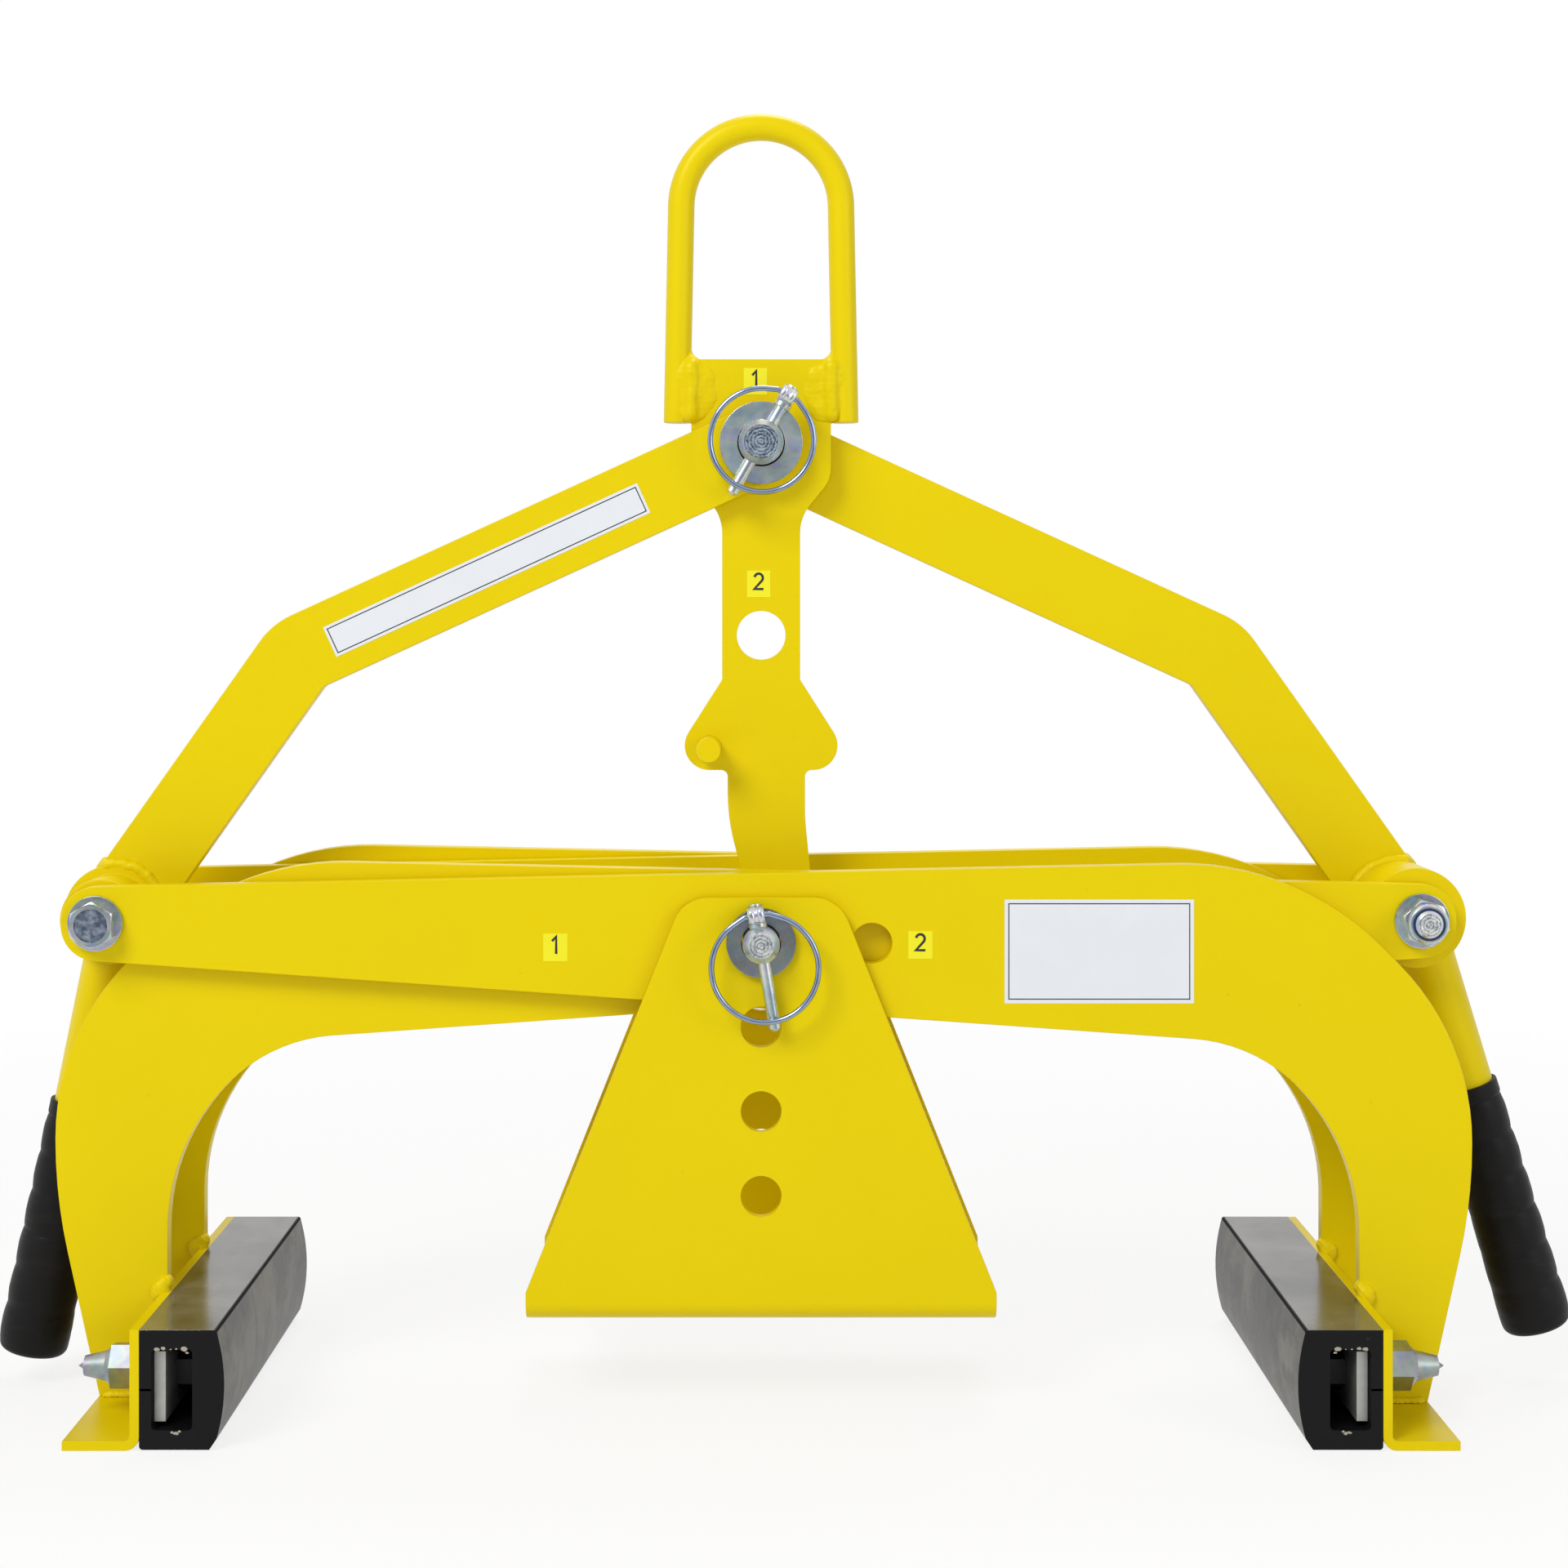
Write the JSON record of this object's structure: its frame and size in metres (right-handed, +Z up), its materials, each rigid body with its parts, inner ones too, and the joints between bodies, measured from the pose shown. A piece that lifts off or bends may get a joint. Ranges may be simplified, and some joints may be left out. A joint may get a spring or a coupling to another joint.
{
  "type": "kerb lifting clamp",
  "caption": "Scissor grab with two curved jaws and rubber-faced feet, links to a hooked hanger with a lifting bail, a folded height stop and two hand grips.",
  "frame": {"origin": "on the ground under the main pin, midway between the two rubber pads: the centre of the kerb grip", "axes": "+X to the right along the clamp's spread, +Y away from the front, along the pads and pins, +Z up towards the lifting bail"},
  "size_m": [0.7056, 0.2, 0.5702],
  "materials": {
    "yellow_paint": "powder coat, semi-gloss",
    "zinc_plate": "bright zinc plate",
    "bar_steel": "bare steel",
    "pad_rubber": "moulded, scuffed, shiny ends",
    "grip_rubber": "moulded, dull"
  },
  "bodies": {
    "main_pin": {"main_linch_pin": "zinc_plate", "main_pin": "zinc_plate", "main_pin_washers": "zinc_plate"},
    "main_ring": {"main_linch_ring": "zinc_plate"},
    "height_stop": {"height_stop": "yellow_paint"},
    "right_jaw": {"left_pivot_bolt": "zinc_plate", "left_pivot_nut": "zinc_plate", "left_pivot_sleeve": "zinc_plate", "left_pivot_washers": "zinc_plate", "right_cone_nuts": "zinc_plate", "right_foot": "yellow_paint", "right_foot_welds": "yellow_paint", "right_jaw_inner_plate": "yellow_paint", "right_jaw_outer_plate": "yellow_paint", "right_pad": "pad_rubber", "right_pad_bar": "bar_steel", "right_pad_bolts": "zinc_plate"},
    "left_jaw": {"left_cone_nuts": "zinc_plate", "left_foot": "yellow_paint", "left_foot_welds": "yellow_paint", "left_jaw_inner_plate": "yellow_paint", "left_jaw_outer_plate": "yellow_paint", "left_pad": "pad_rubber", "left_pad_bar": "bar_steel", "left_pad_bolts": "zinc_plate", "right_pivot_bolt": "zinc_plate", "right_pivot_nut": "zinc_plate", "right_pivot_sleeve": "zinc_plate", "right_pivot_washers": "zinc_plate"},
    "left_link": {"left_handle_grip": "grip_rubber", "left_handle_tube": "yellow_paint", "left_link": "yellow_paint", "left_link_boss": "yellow_paint", "left_link_welds": "yellow_paint"},
    "right_link": {"right_handle_grip": "grip_rubber", "right_handle_tube": "yellow_paint", "right_link": "yellow_paint", "right_link_boss": "yellow_paint", "right_link_welds": "yellow_paint"},
    "top_pin": {"top_linch_pin": "zinc_plate", "top_pin": "zinc_plate", "top_pin_washers": "zinc_plate"},
    "top_ring": {"top_linch_ring": "zinc_plate"},
    "hanger": {"bail_welds": "yellow_paint", "finger_pin": "yellow_paint", "hanger_plate": "yellow_paint", "lifting_bail": "yellow_paint"}
  },
  "joints": [
    {"name": "right_jaw_close", "type": "hinge", "parent": "main_pin", "child": "right_jaw", "pos_m": [0, 0, 0.204], "axis": [0, 1, 0], "range_deg": [0, 14]},
    {"name": "left_jaw_close", "type": "hinge", "parent": "main_pin", "child": "left_jaw", "pos_m": [0, 0, 0.204], "axis": [0, 1, 0], "range_deg": [-14, 0]},
    {"name": "left_link_turn", "type": "hinge", "parent": "right_jaw", "child": "left_link", "pos_m": [-0.288, 0, 0.2115], "axis": [0, 1, 0], "range_deg": [-16.5, 0]},
    {"name": "right_link_turn", "type": "hinge", "parent": "left_jaw", "child": "right_link", "pos_m": [0.288, 0, 0.2115], "axis": [0, 1, 0], "range_deg": [0, 16.5]},
    {"name": "top_pin_turn", "type": "hinge", "parent": "left_link", "child": "top_pin", "pos_m": [0, 0, 0.4213], "axis": [0, 1, 0], "range_deg": [0, 2.5]},
    {"name": "hanger_swing", "type": "hinge", "parent": "top_pin", "child": "hanger", "pos_m": [0, 0, 0.4213], "axis": [0, 1, 0], "range_deg": [-9, 5]},
    {"name": "height_stop_swing", "type": "hinge", "parent": "main_pin", "child": "height_stop", "pos_m": [0, 0, 0.204], "axis": [0, 1, 0], "range_deg": [-30, 30]},
    {"name": "main_ring_flip", "type": "hinge", "parent": "main_pin", "child": "main_ring", "pos_m": [-0.00213, -0.06365, 0.21672], "axis": [-0.9863, 0, -0.165], "range_deg": [0, 150]},
    {"name": "top_ring_flip", "type": "hinge", "parent": "top_pin", "child": "top_ring", "pos_m": [0.01185, -0.02415, 0.44183], "axis": [-0.866, 0, 0.5], "range_deg": [0, 150]}
  ],
  "couplings": [
    {"joint": "left_jaw_close", "follows": "right_jaw_close", "ratio": -1},
    {"joint": "left_link_turn", "follows": "right_jaw_close", "ratio": -1.169},
    {"joint": "right_link_turn", "follows": "right_jaw_close", "ratio": 1.169},
    {"joint": "top_pin_turn", "follows": "right_jaw_close", "ratio": 0.169}
  ]
}
